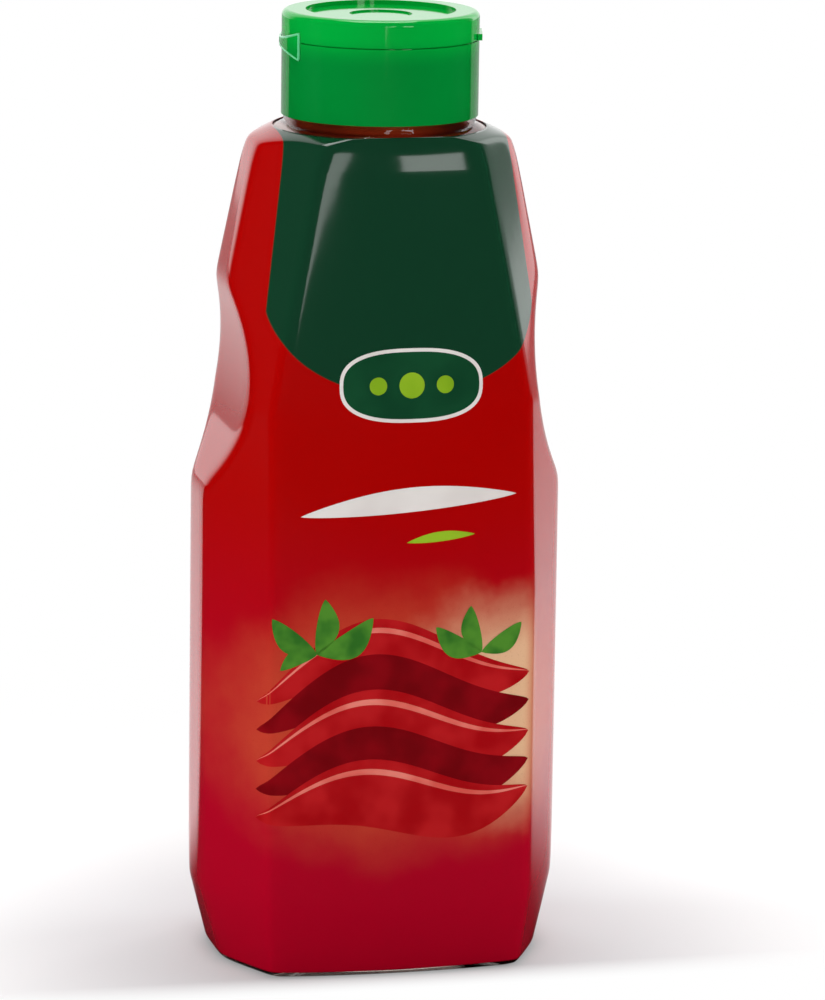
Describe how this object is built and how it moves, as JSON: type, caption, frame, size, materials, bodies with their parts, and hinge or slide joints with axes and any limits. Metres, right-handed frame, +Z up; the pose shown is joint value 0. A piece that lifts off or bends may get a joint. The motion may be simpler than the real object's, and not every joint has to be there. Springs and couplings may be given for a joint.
{
  "type": "squeeze bottle of ketchup",
  "caption": "Tall eight-sided squeeze bottle of ketchup with side grips, a printed red shrink sleeve and a shut green flip-top closure.",
  "frame": {"origin": "Middle of the foot, on the surface that the bottle stands on.", "axes": "+Z up along the bottle to the lid, +X to the right of the front face, the front face towards -Y."},
  "size_m": [0.0924, 0.0692, 0.24],
  "materials": {
    "clear_plastic": "clear blow-moulded plastic, glossy",
    "ketchup": "thick tomato sauce, wet and glossy",
    "sleeve_film": "printed shrink film, red with a dark green panel, glossy",
    "green_plastic": "moulded green plastic, satin to glossy"
  },
  "bodies": {
    "root": {"bottle": "clear_plastic", "ketchup": "ketchup", "sleeve": "sleeve_film", "cap": "green_plastic", "hinge": "green_plastic", "lid": "green_plastic"}
  },
  "joints": []
}
